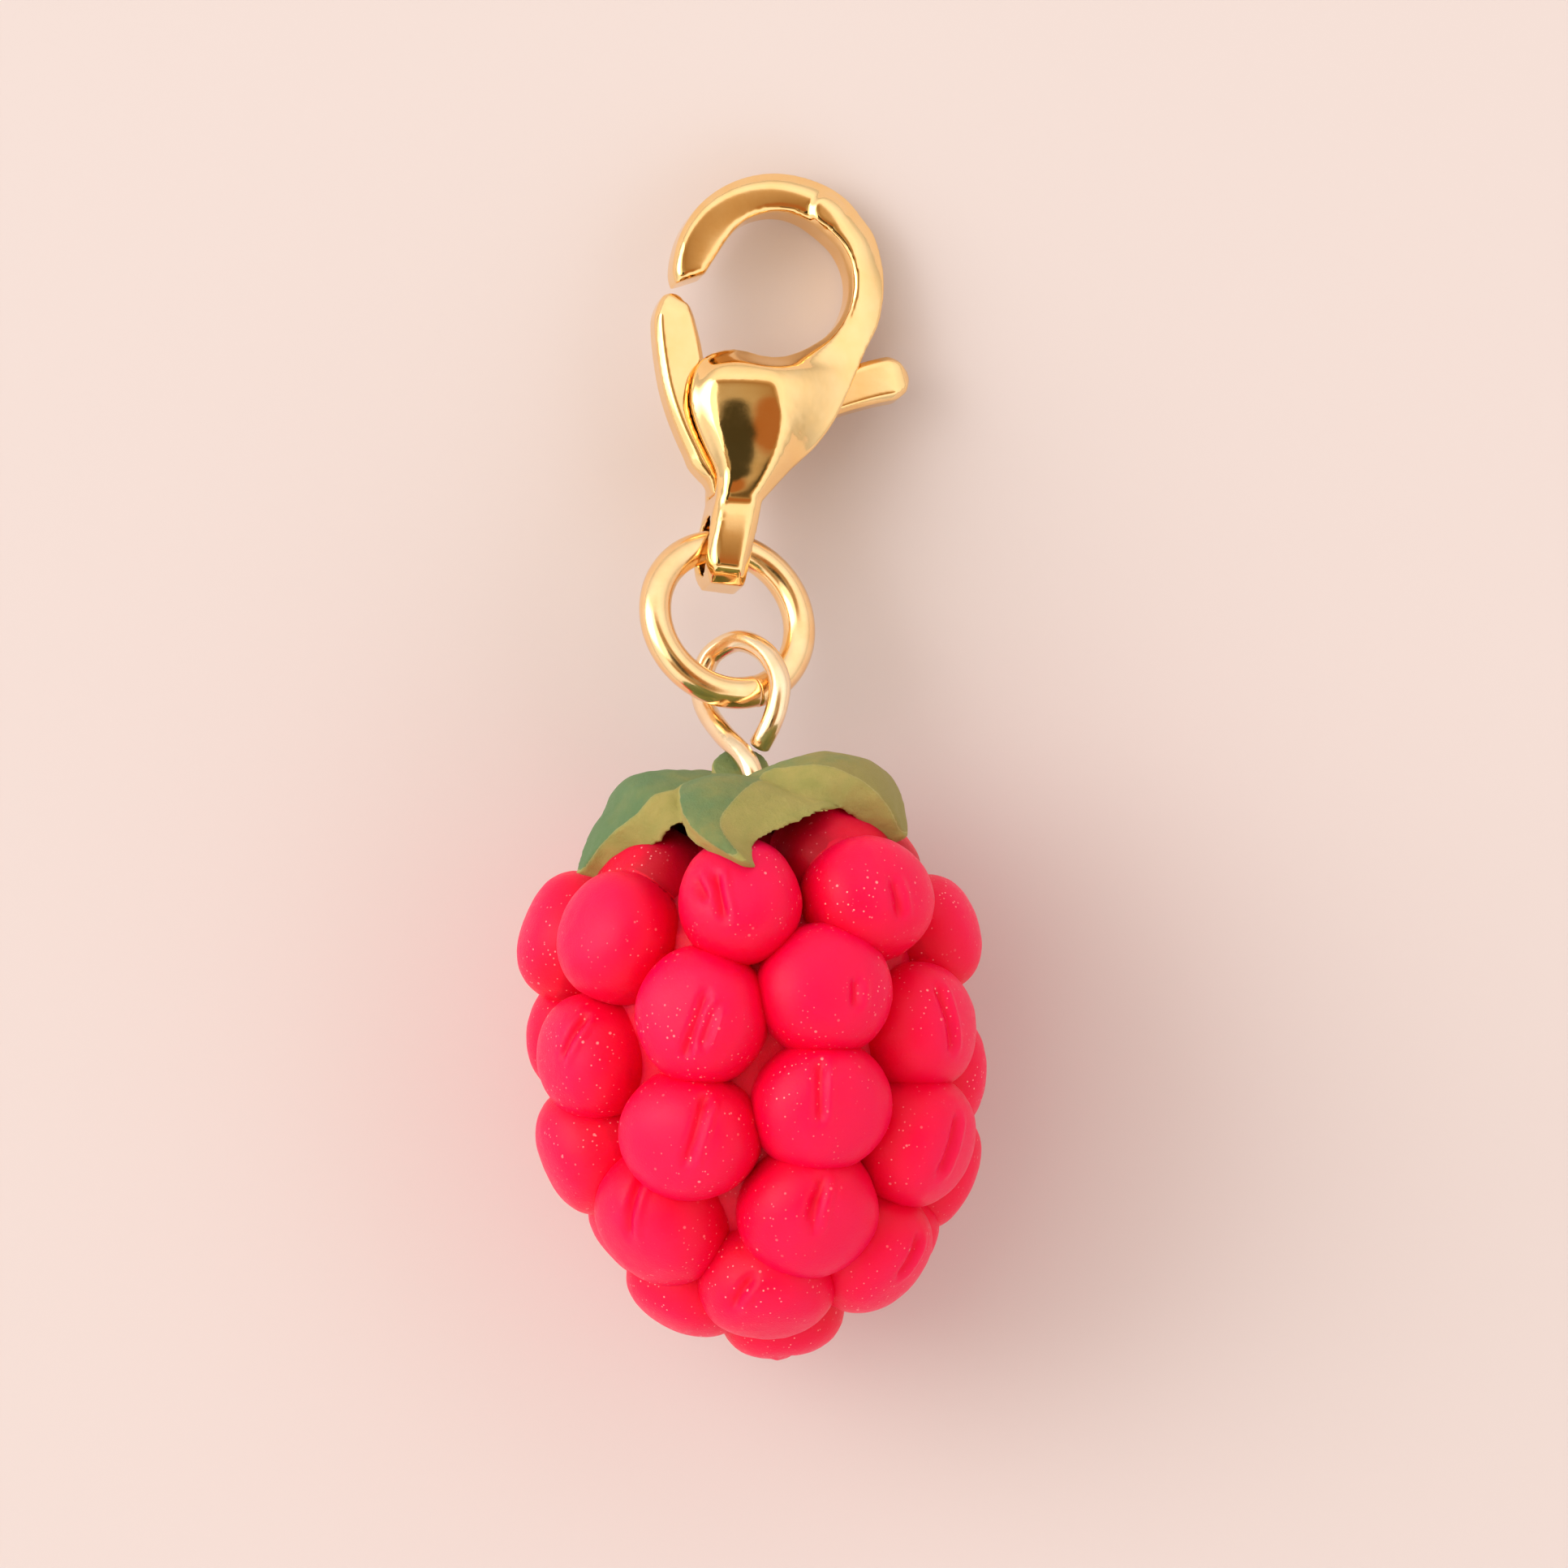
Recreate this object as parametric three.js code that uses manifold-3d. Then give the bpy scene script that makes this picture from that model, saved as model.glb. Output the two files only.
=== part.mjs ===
// Raspberry charm: a polymer-clay raspberry with a clay calyx, hung by a wire
// eye pin and a jump ring on a lobster clasp. Millimetres, +Z up, lying on z = 0.
// The clasp points to +Y, the tip of the berry to -Y.
import * as THREE from 'three';
import { mergeVertices } from 'three/addons/utils/BufferGeometryUtils.js';
import Module from 'manifold-3d';

const wasm = await Module();
wasm.setup();

// ---- driving dimensions ----
const BERRY_TOP = [-0.25, -0.4, 5.9]; // centre of the calyx, on the berry's axis
const BERRY_LEAN = 3; // degrees that the berry's tip turns towards +X
const BERRY_DEPTH = 0.93; // depth over width, because the clay is a little flattened
const BERRY_HALF = [6.4, 8.2]; // half width and half length, which tilt the drupelets
const BERRY_MIDDLE = 7.4; // distance of the middle from the top
const CORE_SKIN = 0.3; // how far the core reaches past the drupelets' centres
const DRUPELET_SPREAD = 0.04; // random spread of the drupelets' sizes
const DRUPELET_WIDE = 1.12; // how much wider a drupelet is than it is deep
const DRUPELET_STRETCH = 0.1; // random spread of its length over its width
const RANDOM_SEED = 7;

const LEAF_THICK = 0.88;
const CALYX_DISC = 1.9; // radius of the middle of the calyx
const CALYX_GAP = 0.09; // room between the calyx and the drupelets below it

const PIN_WIRE = 0.61;
const PIN_ROOM = 0.07; // room round the eye pin's shank, per side
const PIN_END_ROOM = 0.2; // room past its lower end

const RING_WIRE = 0.9;
const RING_RADIUS = 2.19; // to the middle of the wire
const RING_CENTRE = [-0.7, 4.06, 3.8];
const RING_TURN = [-20.8, 22.8]; // degrees about X and Y
const RING_CUT = -68; // degrees round the ring where its ends meet
const RING_STEP = 0.1; // how far one end lies above the other
const RING_CUT_GAP = 2; // degrees

const CLASP_EYE = [-0.72, 6.12, 3.0]; // middle of the hole in the clasp's tail
const CLASP_TURN = [-9.7, 12]; // degrees about X and Y
const EYE_HOLE = 0.78; // radius
const PIVOT = [0.45, 2.75]; // the gate's pivot in the clasp's own plane
const PIVOT_RADIUS = 0.3;
const PIVOT_LENGTH = 2.3;
const PIVOT_ROOM = 0.05; // between the pin and the lever that turns on it
const PIVOT_FIT = 0.02; // between the pin and the body that holds it
const GATE_OPENS = 30; // degrees
const LEVER_THICK = 1.1;
const SLOT_ROOM = 0.1; // room round the lever, per side
const SPRING_RADIUS = 0.48;
const SPRING_WIRE = 0.17;
const SPRING_TURNS = 2.5;
const SPRING_ROOM = 0.06; // between the spring and the wall of its pocket

// ---- materials ----
const clayRed = new THREE.MeshStandardMaterial({ color: 0xf02a4c, roughness: 0.5, metalness: 0 });
const clayGreen = new THREE.MeshStandardMaterial({ color: 0x74934f, roughness: 0.7, metalness: 0 });
const gold = new THREE.MeshStandardMaterial({ color: 0xe8b85c, roughness: 0.15, metalness: 1 });
const wireGold = new THREE.MeshStandardMaterial({ color: 0xf0c890, roughness: 0.2, metalness: 1 });
const steel = new THREE.MeshStandardMaterial({ color: 0xb0b0b0, roughness: 0.3, metalness: 1 });

// ---- helpers ----
const radians = THREE.MathUtils.degToRad;

function solid(geometry) {
  geometry.deleteAttribute('normal');
  geometry.deleteAttribute('uv');
  const merged = mergeVertices(geometry, 1e-4);
  return new wasm.Manifold(
    new wasm.Mesh({
      numProp: 3,
      vertProperties: merged.attributes.position.array,
      triVerts: new Uint32Array(merged.index.array),
    }),
  );
}

function geometryOf(manifold) {
  const mesh = manifold.getMesh();
  const geometry = new THREE.BufferGeometry();
  geometry.setAttribute('position', new THREE.BufferAttribute(mesh.vertProperties, 3));
  geometry.setIndex(new THREE.BufferAttribute(mesh.triVerts, 1));
  return geometry;
}

function addMesh(parent, name, manifold, material) {
  const mesh = new THREE.Mesh(geometryOf(manifold), material);
  mesh.name = name;
  parent.add(mesh);
}

// Moves every vertex of a geometry to where place(vertex) says.
function reshape(geometry, place) {
  const position = geometry.attributes.position;
  const vertex = new THREE.Vector3();
  for (let i = 0; i < position.count; i += 1) {
    place(vertex.fromBufferAttribute(position, i));
    position.setXYZ(i, vertex.x, vertex.y, vertex.z);
  }
  return geometry;
}

function cylinder(radius, length, sides) {
  return new THREE.CylinderGeometry(radius, radius, length, sides);
}

// A round wire along points.
function wire(points, diameter, sides, steps) {
  const section = new THREE.Shape();
  section.absarc(0, 0, diameter / 2, 0, Math.PI * 2);
  const path = new THREE.CatmullRomCurve3(points.map((p) => new THREE.Vector3(...p)));
  return new THREE.ExtrudeGeometry(section, {
    steps,
    curveSegments: sides,
    bevelEnabled: false,
    extrudePath: path,
  });
}

// A flat bar along stations [x, y, half width, half thickness], grown all round
// by some millimetres. Its section is round at boxy 1, and squarer below it.
function bar(stations, sides, steps, boxy, grow = 0) {
  const middle = new THREE.CatmullRomCurve3(stations.map((s) => new THREE.Vector3(s[0], s[1], 0)));
  const size = new THREE.CatmullRomCurve3(stations.map((s) => new THREE.Vector3(s[2], s[3], 0)));
  const rounded = (value) => Math.sign(value) * Math.abs(value) ** boxy;
  return reshape(new THREE.CylinderGeometry(1, 1, 1, sides, steps), (p) => {
    const t = 0.5 - p.y;
    const at = middle.getPoint(t);
    const along = middle.getTangent(t);
    const half = size.getPoint(t);
    const out = rounded(p.x) * (half.x + grow);
    const past = grow * Math.trunc(2 * t - 1); // only the two ends move along the bar
    p.set(at.x - along.y * out + along.x * past, at.y + along.x * out + along.y * past,
      rounded(p.z) * (half.y + grow));
  });
}

function randomFrom(seed) {
  let state = seed;
  return () => {
    state = (state * 16807) % 2147483647;
    return state / 2147483647;
  };
}

const charm = new THREE.Group();

// ---- the berry's frame: +Y out of its top, -Y down to its tip ----
const berryFrame = new THREE.Group();
berryFrame.position.set(...BERRY_TOP);
berryFrame.rotation.z = radians(BERRY_LEAN);
charm.add(berryFrame);

// ---- calyx ----
// Each sepal: degrees round the berry from +Z towards +X, half width, droop of its
// edges per square mm, how far its cut side slants out (the right side, or below
// zero the left one), degrees that its face has turned down at the tip, how far the
// tip hooks to the right, and its middle from the stem to that tip: [distance out, rise].
const SEPALS = [
  {
    round: -13,
    half: 1.0,
    droop: 0.2,
    slant: 2.2,
    drape: 70,
    hook: 1.3,
    side: [[0, 0], [1.3, 0.12], [2.7, 0.15], [3.8, 0], [4.8, -0.5], [5.6, -1.2], [6.05, -2.2]],
  },
  {
    round: 66,
    half: 1.6,
    droop: 0.14,
    slant: -0.7,
    drape: 70,
    hook: 0,
    side: [[0, 0], [1.2, 0.42], [2.2, 0.62], [3.3, 0.5], [4.1, 0], [4.6, -0.8], [4.85, -1.8]],
  },
  {
    round: 140,
    half: 1.6,
    droop: 0.25,
    slant: 0.3,
    drape: 70,
    hook: 0,
    side: [[0, 0], [1.1, 0.2], [2.3, 0.3], [3.2, 0.1], [3.8, -0.6], [4.2, -1.4], [4.5, -2.3]],
  },
  {
    round: -146,
    half: 1.6,
    droop: 0.25,
    slant: 0.3,
    drape: 70,
    hook: 0,
    side: [[0, 0], [1.1, 0.2], [2.3, 0.3], [3.2, 0.1], [3.8, -0.5], [4.2, -1.1], [4.5, -1.7]],
  },
  {
    round: -68,
    half: 1.75,
    droop: 0.18,
    slant: 0.7,
    drape: 70,
    hook: 0,
    side: [[0, 0], [1.2, 0.25], [2.5, 0.34], [3.45, 0.12], [3.95, -0.6], [4.5, -1.3], [5.1, -2.35]],
  },
  // a stub that stands up behind the stem
  {
    round: 187,
    half: 0.75,
    droop: 0.1,
    slant: 0.1,
    drape: 0,
    hook: 0,
    side: [[0, 0], [0.5, 0.4], [1, 0.75], [1.6, 0.9]],
  },
];

// Half width of a sepal along its length: a broad leaf that ends in a point.
function leafWidth(t) {
  return (0.6 + 0.4 * Math.sin(Math.PI * Math.min(1, 1.15 * t))) * (1 - t ** 4) + 0.08;
}

function sepal({ round, half, droop, slant, drape, hook, side }, grow) {
  const blade = new THREE.BoxGeometry(1, 1, 1, 10, 1, 4);
  const middle = new THREE.CatmullRomCurve3(side.map(([out, rise]) => new THREE.Vector3(out, rise, 0)));
  const reach = Math.abs(slant) * (1 + 2 * grow / LEAF_THICK);
  reshape(blade, (p) => {
    const t = THREE.MathUtils.clamp(p.x + 0.5, 0, 1);
    const at = middle.getPointAt(t);
    const along = middle.getTangentAt(t);
    const turn = radians(drape) * t * t;
    const flat = p.z * 2 * (half * leafWidth(t) + grow);
    const lift = (p.y - 0.5) * LEAF_THICK + 2 * p.y * grow - droop * flat * flat;
    const leaning = slant > 0 ? Math.min(0, p.z) : Math.max(0, p.z);
    const sideways = hook * Math.max(0, 4 * t - 3) ** 2;
    const across = flat - sideways + (1 - 2 * p.y) * reach * leafWidth(t) * leaning;
    const past = grow * (Math.max(0, t * 10 - 9) - Math.max(0, 1 - t * 10));
    const out = at.x + Math.sin(turn) * lift + along.x * past;
    p.set(out, at.y + Math.cos(turn) * lift + along.y * past, across);
  });
  blade.rotateY(radians(round - 90));
  return solid(blade);
}

function calyxSolid(grow) {
  const disc = cylinder(CALYX_DISC + grow, LEAF_THICK + 2 * grow, 15);
  disc.translate(0, -LEAF_THICK / 2, 0);
  return SEPALS.reduce((sum, leaf) => sum.add(sepal(leaf, grow)), solid(disc));
}

// ---- drupelets ----
// Each row: the distance of the drupelets' centres from the axis, their radius, and
// for each [degrees round from +Z towards +X, distance down from the top, size if not 1].
const ROWS = [
  { out: 3.1, radius: 1.55, at: [[-57, 2.8], [46, 2.45], [98, 2.6], [150, 2.7], [-155, 2.7], [-106, 2.7]] },
  {
    out: 4.75,
    radius: 1.66,
    at: [
      [-90, 4.2], [-48, 4.2], [-3, 3.4, 0.93], [42, 3.5],
      [86, 4.6, 0.93], [131, 4.5], [177, 4.2], [-136, 4.4],
    ],
  },
  {
    out: 4.8,
    radius: 1.66,
    at: [
      [-105, 6.9], [-64, 7.4], [-17, 6.4], [23, 5.9], [63, 7.1],
      [104, 8.4, 0.96], [143, 7.5], [-179, 7.2], [-142, 7.5],
    ],
  },
  {
    out: 4.55,
    radius: 1.7,
    at: [[-79, 9.9], [-25, 9.6], [21, 9], [62, 10.1], [112, 10.9], [-120, 10.2]],
  },
  { out: 4.97, radius: 1.7, at: [[157, 10.4], [-160, 10.5]] },
  { out: 3.6, radius: 1.72, at: [[-49, 11.8], [18, 11.8], [160, 12.8], [-145, 12.9]] },
  { out: 3.1, radius: 1.65, at: [[-92, 12], [60, 13], [112, 12.7]] },
  { out: 2.1, radius: 1.65, at: [[-80, 13.6], [-2, 13.7], [175, 13.9]] },
  { out: 0.5, radius: 1.6, at: [[150, 14.5]] },
];

function drupelet(row, [round, down, size = 1], random) {
  const radius = row.radius * size * (1 + DRUPELET_SPREAD * (random() - 0.5));
  const stretch = DRUPELET_WIDE * (1 + DRUPELET_STRETCH * (random() - 0.5));
  const ball = new THREE.IcosahedronGeometry(radius, 2);
  ball.rotateY(random() * Math.PI);
  ball.scale(stretch, DRUPELET_WIDE ** 2 / stretch, 1);
  const rise = Math.atan2((BERRY_MIDDLE - down) / BERRY_HALF[1] ** 2, row.out / BERRY_HALF[0] ** 2);
  ball.rotateX(-rise);
  const angle = radians(round);
  ball.rotateY(angle);
  ball.translate(row.out * Math.sin(angle), -down, row.out * Math.cos(angle) * BERRY_DEPTH);
  return solid(ball);
}

// The clay core that the drupelets are pressed into.
function core() {
  const profile = [new THREE.Vector2(0, -14.6)];
  const reach = [[13.6, 2.3], [11.6, 3.7], [9.4, 4.5], [6.8, 4.8], [4.2, 4.6], [2.6, 3.5], [1.6, 2.2]];
  for (const [down, out] of reach) profile.push(new THREE.Vector2(out + CORE_SKIN, -down));
  profile.push(new THREE.Vector2(0, -1.2));
  const lathe = new THREE.LatheGeometry(profile, 16);
  lathe.scale(1, 1, BERRY_DEPTH);
  return solid(lathe);
}

function berry() {
  const random = randomFrom(RANDOM_SEED);
  let body = core();
  for (const row of ROWS) {
    for (const place of row.at) body = body.add(drupelet(row, place, random));
  }
  const floor = new THREE.BoxGeometry(40, 40, 4);
  floor.translate(0, -8, -BERRY_TOP[2] - 2);
  return body.subtract(calyxSolid(CALYX_GAP)).subtract(solid(floor));
}

// ---- eye pin ----
// Its shank runs down the berry's axis; the eye bends over towards the table.
const EYE_PATH = [
  [0.47, -9.4, 5.9],
  [0.28, -5.5, 5.9],
  [0.06, -1.2, 5.9],
  [-0.02, -0.2, 5.86],
  [-0.3, 0.32, 5.5],
  [-0.81, 0.85, 4.85],
  [-1.27, 1.5, 4.05],
  [-1.42, 2.0, 3.55],
  [-1.4, 2.5, 3.32],
  [-1.15, 3.08, 3.27],
  [-0.43, 3.47, 3.62],
  [0.34, 3.15, 4.28],
  [0.75, 2.36, 4.88],
  [0.68, 1.62, 5.13],
  [0.47, 1.05, 5.18],
  [0.2, 0.55, 5.0],
];

// ---- clasp ----
const claspFrame = new THREE.Group();
claspFrame.position.set(...CLASP_EYE);
claspFrame.rotation.set(radians(CLASP_TURN[0]), radians(CLASP_TURN[1]), 0);
charm.add(claspFrame);

const HOOK_CENTRE = [1.45, 7.62];
const HOOK_RADIUS = 2.5; // to the middle of the hook's band
const HOOK_THICK = 1.44;

function hookStations() {
  const stations = [];
  for (let angle = 181; angle >= -8; angle -= 21) {
    const turn = radians(angle);
    const half = 0.6 - 0.12 * Math.max(0, angle - 90) / 90;
    stations.push([
      HOOK_CENTRE[0] + HOOK_RADIUS * Math.cos(turn),
      HOOK_CENTRE[1] + HOOK_RADIUS * Math.sin(turn),
      half,
      HOOK_THICK / 2,
    ]);
  }
  stations.push([3.5, 6.1, 0.72, 0.8], [2.9, 4.9, 0.9, 1.0], [2.2, 3.7, 0.9, 1.0], [1.5, 2.7, 0.6, 0.9]);
  return stations;
}

const BELLY = [
  [-0.03, -1.3, 0.4, 0.9],
  [0, -0.8, 0.55, 1.12],
  [0.03, 0, 0.66, 1.2],
  [0.12, 0.75, 0.67, 1.14],
  [0.4, 1.35, 0.66, 1.1],
  [0.6, 1.8, 0.92, 1.25],
  [0.72, 2.35, 1.32, 1.45],
  [0.84, 2.95, 1.72, 1.6],
  [0.97, 3.6, 2.08, 1.7],
  [1.12, 4.25, 2.3, 1.72],
  [1.24, 4.85, 2.3, 1.6],
  [1.26, 5.22, 2.1, 1.35],
  [1.26, 5.45, 1.7, 0.95],
  [1.26, 5.55, 0.9, 0.45],
];
const LEVER_HALF = LEVER_THICK / 2;
const GATE_ARM = [
  [-1.45, 7.08, 0.1, 0.3],
  [-1.52, 6.93, 0.4, 0.45],
  [-1.57, 6.45, 0.58, LEVER_HALF],
  [-1.45, 5.6, 0.66, LEVER_HALF],
  [-1.24, 4.5, 0.68, LEVER_HALF],
  [-0.88, 3.5, 0.7, LEVER_HALF],
  [-0.38, 2.6, 0.8, LEVER_HALF],
  [-0.22, 1.9, 0.55, LEVER_HALF],
  [-0.3, 1.4, 0.2, 0.4],
];
const THUMB_TAB = [
  [-0.2, 2.6, 0.5, LEVER_HALF],
  [0.4, 2.85, 0.8, LEVER_HALF],
  [1.4, 3.5, 0.7, LEVER_HALF],
  [2.6, 4.2, 0.55, LEVER_HALF],
  [3.8, 4.72, 0.62, LEVER_HALF],
  [4.6, 4.95, 0.64, LEVER_HALF],
  [5.0, 5.03, 0.46, 0.44],
  [5.18, 5.07, 0.14, 0.22],
];

function pivotBore(radius, length) {
  const bore = cylinder(radius, length, 14);
  bore.rotateX(Math.PI / 2);
  bore.translate(...PIVOT, 0);
  return solid(bore);
}

// The lever, turned open by some degrees and grown by some millimetres.
function lever(open, grow) {
  const turned = (stations, steps) => {
    const geometry = bar(stations, 10, steps, 0.6, grow);
    geometry.translate(-PIVOT[0], -PIVOT[1], 0);
    geometry.rotateZ(radians(-open));
    geometry.translate(...PIVOT, 0);
    return solid(geometry);
  };
  return turned(GATE_ARM, 12).add(turned(THUMB_TAB, 9));
}

function claspBody() {
  let body = solid(bar(hookStations(), 12, 28, 0.75));
  body = body.add(solid(bar(BELLY, 16, 17, 0.62)));
  for (let open = 0; open <= GATE_OPENS; open += 5) body = body.subtract(lever(open, SLOT_ROOM));
  const eye = cylinder(EYE_HOLE, 3, 16);
  eye.rotateZ(Math.PI / 2);
  const pinHole = pivotBore(PIVOT_RADIUS + PIVOT_FIT, PIVOT_LENGTH + 2 * PIVOT_FIT);
  return body.subtract(solid(eye)).subtract(pinHole);
}

function springPath() {
  const points = [];
  const steps = SPRING_TURNS * 10;
  for (let i = 0; i <= steps; i += 1) {
    const turn = (i / steps) * SPRING_TURNS * Math.PI * 2;
    const rise = SPRING_WIRE / 2 + (i / steps) * (LEVER_HALF - SPRING_WIRE);
    const out = [SPRING_RADIUS * Math.cos(turn), SPRING_RADIUS * Math.sin(turn)];
    points.push([PIVOT[0] + out[0], PIVOT[1] + out[1], rise]);
  }
  return points;
}

function gateLever() {
  const pocket = cylinder(SPRING_RADIUS + SPRING_WIRE / 2 + SPRING_ROOM, LEVER_THICK, 16);
  pocket.rotateX(Math.PI / 2);
  pocket.translate(...PIVOT, LEVER_HALF - SPRING_ROOM);
  return lever(0, 0).subtract(solid(pocket)).subtract(pivotBore(PIVOT_RADIUS + PIVOT_ROOM, 4));
}

// ---- jump ring ----
function ringPath() {
  const points = [];
  const first = RING_CUT + RING_CUT_GAP / 2;
  const span = 360 - RING_CUT_GAP;
  const steps = 40;
  for (let i = 0; i <= steps; i += 1) {
    const turn = radians(first + (span * i) / steps);
    const lift = RING_STEP * (i / steps - 0.5);
    points.push([RING_RADIUS * Math.cos(turn), RING_RADIUS * Math.sin(turn), lift]);
  }
  return points;
}

// ---- assembly ----
const pin = solid(wire(EYE_PATH, PIN_WIRE, 4, 60));
const [[endX, endY, endZ], ...pathUp] = EYE_PATH;
const borePath = [[endX, endY - PIN_END_ROOM, endZ], ...pathUp];
const bore = solid(wire(borePath, PIN_WIRE + 2 * PIN_ROOM, 4, 60));
addMesh(charm, 'eye_pin', pin, wireGold);

const toBerry = new THREE.Matrix4().makeRotationZ(-radians(BERRY_LEAN));
toBerry.multiply(new THREE.Matrix4().makeTranslation(...BERRY_TOP.map((v) => -v)));
const boreInBerry = solid(geometryOf(bore).applyMatrix4(toBerry));
addMesh(berryFrame, 'berry', berry().subtract(boreInBerry), clayRed);
addMesh(berryFrame, 'calyx', calyxSolid(0).subtract(boreInBerry), clayGreen);

const ringFrame = new THREE.Group();
ringFrame.position.set(...RING_CENTRE);
ringFrame.rotation.set(radians(RING_TURN[0]), radians(RING_TURN[1]), 0);
charm.add(ringFrame);
addMesh(ringFrame, 'jump_ring', solid(wire(ringPath(), RING_WIRE, 5, 44)), gold);

addMesh(claspFrame, 'clasp_body', claspBody(), gold);
addMesh(claspFrame, 'gate_lever', gateLever(), gold);
addMesh(claspFrame, 'pivot_pin', pivotBore(PIVOT_RADIUS, PIVOT_LENGTH), steel);
addMesh(claspFrame, 'gate_spring', solid(wire(springPath(), SPRING_WIRE, 3, 36)), steel);

export default charm;
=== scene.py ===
"""The look of the raspberry charm: a clay raspberry on a gold lobster clasp.

Lengths are in millimetres up to the moment that a piece is placed, and metres after it.
"""
import math

import bmesh
import bpy
import numpy as np
from mathutils import Matrix, Vector, noise
from mathutils.geometry import delaunay_2d_cdt
from mathutils.kdtree import KDTree

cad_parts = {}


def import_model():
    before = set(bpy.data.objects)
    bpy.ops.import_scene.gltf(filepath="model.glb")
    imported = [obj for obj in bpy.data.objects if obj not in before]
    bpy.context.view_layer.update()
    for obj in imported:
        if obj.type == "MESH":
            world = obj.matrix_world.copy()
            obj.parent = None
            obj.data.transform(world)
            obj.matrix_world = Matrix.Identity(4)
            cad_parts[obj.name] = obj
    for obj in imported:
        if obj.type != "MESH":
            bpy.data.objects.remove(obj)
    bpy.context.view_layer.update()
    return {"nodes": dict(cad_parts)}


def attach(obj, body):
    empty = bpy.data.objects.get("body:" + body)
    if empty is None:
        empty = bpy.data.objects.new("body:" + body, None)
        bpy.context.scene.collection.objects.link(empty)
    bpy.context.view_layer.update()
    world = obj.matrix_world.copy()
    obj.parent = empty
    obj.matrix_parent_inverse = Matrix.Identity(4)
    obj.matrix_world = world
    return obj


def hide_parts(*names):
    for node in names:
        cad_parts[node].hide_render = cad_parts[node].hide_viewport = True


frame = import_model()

MM = 0.001
BAR_SIDE = 0.62  # height of a bar's sides, as a share of its thickness
NO_WIRE = (0.3, 0.2, 0.9)  # a direction that no wire starts in


# ---- shape helpers ----
def catmull(points, t):
    """Points at each t (0 to 1) on the centripetal Catmull-Rom curve through points."""
    points = np.asarray(points, float)
    ends = (2 * points[:1] - points[1:2], 2 * points[-1:] - points[-2:-1])
    padded = np.vstack([ends[0], points, ends[1]])
    place = np.clip(np.asarray(t, float), 0, 1) * (len(points) - 1)
    first = np.minimum(place.astype(int), len(points) - 2)
    part = place - first
    p0, p1, p2, p3 = (padded[first + i] for i in range(4))
    d1, d2, d3 = (
        np.maximum(np.linalg.norm(b - a, axis=1), 1e-6)[:, None] ** 0.5
        for a, b in ((p0, p1), (p1, p2), (p2, p3))
    )
    m1 = ((p1 - p0) / d1 - (p2 - p0) / (d1 + d2) + (p2 - p1) / d2) * d2
    m2 = ((p2 - p1) / d2 - (p3 - p1) / (d2 + d3) + (p3 - p2) / d3) * d2
    s = part[:, None]
    return (
        (2 * s**3 - 3 * s**2 + 1) * p1
        + (s**3 - 2 * s**2 + s) * m1
        + (3 * s**2 - 2 * s**3) * p2
        + (s**3 - s**2) * m2
    )


def evenly(points, count):
    """Points the same distance apart along the curve through points."""
    fine = catmull(points, np.linspace(0, 1, 60 * len(points)))
    run = np.concatenate([[0], np.cumsum(np.linalg.norm(np.diff(fine, axis=0), axis=1))])
    at = np.linspace(0, run[-1], count)
    return np.stack([np.interp(at, run, fine[:, i]) for i in range(3)], axis=1)


def smooth_step(value, low, high):
    """0 up to low, 1 from high, and an even curve between them."""
    share = np.clip((value - low) / (high - low), 0, 1)
    return share * share * (3 - 2 * share)


def mesh_object(name, vertices, faces):
    """A new object with a mesh, linked to the scene."""
    mesh = bpy.data.meshes.new(name)
    mesh.from_pydata([tuple(v) for v in vertices], [], faces)
    obj = bpy.data.objects.new(name, mesh)
    bpy.context.scene.collection.objects.link(obj)
    return obj


def skin(name, rings):
    """A closed tube through rings of points, with a fan over each end."""
    rings = np.asarray(rings, float)
    count, sides = rings.shape[:2]
    faces = []
    for i in range(count - 1):
        for j in range(sides):
            k = (j + 1) % sides
            faces.append((i * sides + j, i * sides + k, (i + 1) * sides + k, (i + 1) * sides + j))
    tips = [rings[0].mean(axis=0), rings[-1].mean(axis=0)]
    first, last = count * sides, count * sides + 1
    for j in range(sides):
        k = (j + 1) % sides
        faces.append((first, k, j))
        faces.append((last, (count - 1) * sides + j, (count - 1) * sides + k))
    obj = mesh_object(name, np.vstack([rings.reshape(-1, 3), tips]), faces)
    face_outward(obj)
    return obj


def face_outward(obj):
    """Turns a closed mesh's faces outwards."""
    work = bmesh.new()
    work.from_mesh(obj.data)
    bmesh.ops.recalc_face_normals(work, faces=work.faces)
    work.to_mesh(obj.data)
    work.free()


def wire(name, points, diameter, sides=24, steps=200, bevel=0.05):
    """A round wire along points, its ends cut square with a small bevel."""
    path = evenly(points, steps)
    along = np.gradient(path, axis=0)
    along /= np.linalg.norm(along, axis=1)[:, None]
    across = np.cross(along[0], NO_WIRE)
    turn = np.linspace(0, 2 * math.pi, sides, endpoint=False)
    spokes = []
    for way in along:
        across = across - way * across.dot(way)
        across /= np.linalg.norm(across)
        other = np.cross(way, across)
        spokes.append([across * math.cos(a) + other * math.sin(a) for a in turn])
    radius = diameter / 2
    rings = [[at + arm * radius for arm in arms] for at, arms in zip(path, spokes)]
    start = [path[0] + arm * (radius - bevel) - along[0] * bevel for arm in spokes[0]]
    end = [path[-1] + arm * (radius - bevel) + along[-1] * bevel for arm in spokes[-1]]
    return skin(name, [start, *rings, end])


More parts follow.
